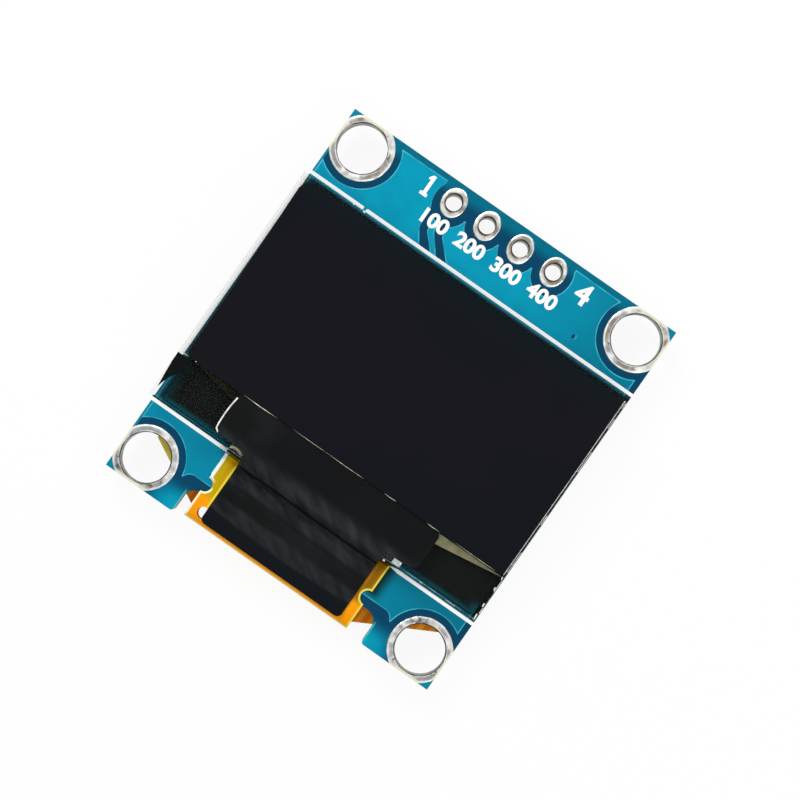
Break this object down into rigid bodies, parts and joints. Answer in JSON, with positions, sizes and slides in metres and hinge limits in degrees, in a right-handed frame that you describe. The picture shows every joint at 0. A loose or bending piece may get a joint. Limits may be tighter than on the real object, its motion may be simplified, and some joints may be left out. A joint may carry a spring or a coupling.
{
  "type": "small oled display module",
  "caption": "Small graphic display panel on a blue circuit board, with mounting holes, a row of header holes and a flex cable folded to the back.",
  "frame": {"origin": "centre of the four mounting holes, on the board's back face", "axes": "+X across the board, +Y towards the edge with the header holes, +Z out of the display's face"},
  "size_m": [0.0248, 0.0274, 0.0037],
  "materials": {
    "board": "glossy blue solder mask over a glass-epoxy laminate",
    "tinned_pad": "uneven hot-air-levelled tin",
    "solder": "bright solder",
    "foam": "black foam tape",
    "glass": "clear cut glass",
    "polarizer": "smooth black film",
    "desiccant": "pale matt sheet",
    "seal": "cured epoxy",
    "emitter": "metal film over organic layers",
    "silicon": "bare die",
    "bond_film": "cured conductive film",
    "flex": "amber polyimide over copper tracks",
    "tape": "black tape with a soft sheen",
    "sealant": "clear cured sealant",
    "capacitor_ceramic": "tan ceramic with tinned ends",
    "resistor_ceramic": "black glaze on alumina with tinned ends",
    "moulding": "black moulding compound",
    "lead_frame": "tinned leads"
  },
  "bodies": {
    "root": {"circuit_board": "board", "mounting_pad_1": "tinned_pad", "mounting_pad_2": "tinned_pad", "mounting_pad_3": "tinned_pad", "mounting_pad_4": "tinned_pad", "header_pad_1": "tinned_pad", "header_pad_2": "tinned_pad", "header_pad_3": "tinned_pad", "header_pad_4": "tinned_pad", "foam_tape": "foam", "back_glass": "glass", "desiccant_sheet": "desiccant", "perimeter_seal": "seal", "emitter_layers": "emitter", "front_glass": "glass", "polarizer": "polarizer", "ledge_pad": "foam", "driver_chip": "silicon", "chip_bond_film": "bond_film", "flex_bond_film": "bond_film", "flex_cable": "flex", "flex_solder_joints": "solder", "front_tape": "tape", "joint_sealant": "sealant", "capacitor_1": "capacitor_ceramic", "capacitor_2": "capacitor_ceramic", "capacitor_3": "capacitor_ceramic", "capacitor_4": "capacitor_ceramic", "capacitor_5": "capacitor_ceramic", "capacitor_6": "capacitor_ceramic", "capacitor_7": "capacitor_ceramic", "capacitor_8": "capacitor_ceramic", "resistor_1": "resistor_ceramic", "resistor_2": "resistor_ceramic", "resistor_3": "resistor_ceramic", "resistor_4": "resistor_ceramic", "resistor_5": "resistor_ceramic", "resistor_6": "resistor_ceramic", "resistor_7": "resistor_ceramic", "regulator_body": "moulding", "regulator_leads": "lead_frame", "diode_body": "moulding", "diode_leads": "lead_frame", "component_solder": "solder"}
  },
  "joints": []
}
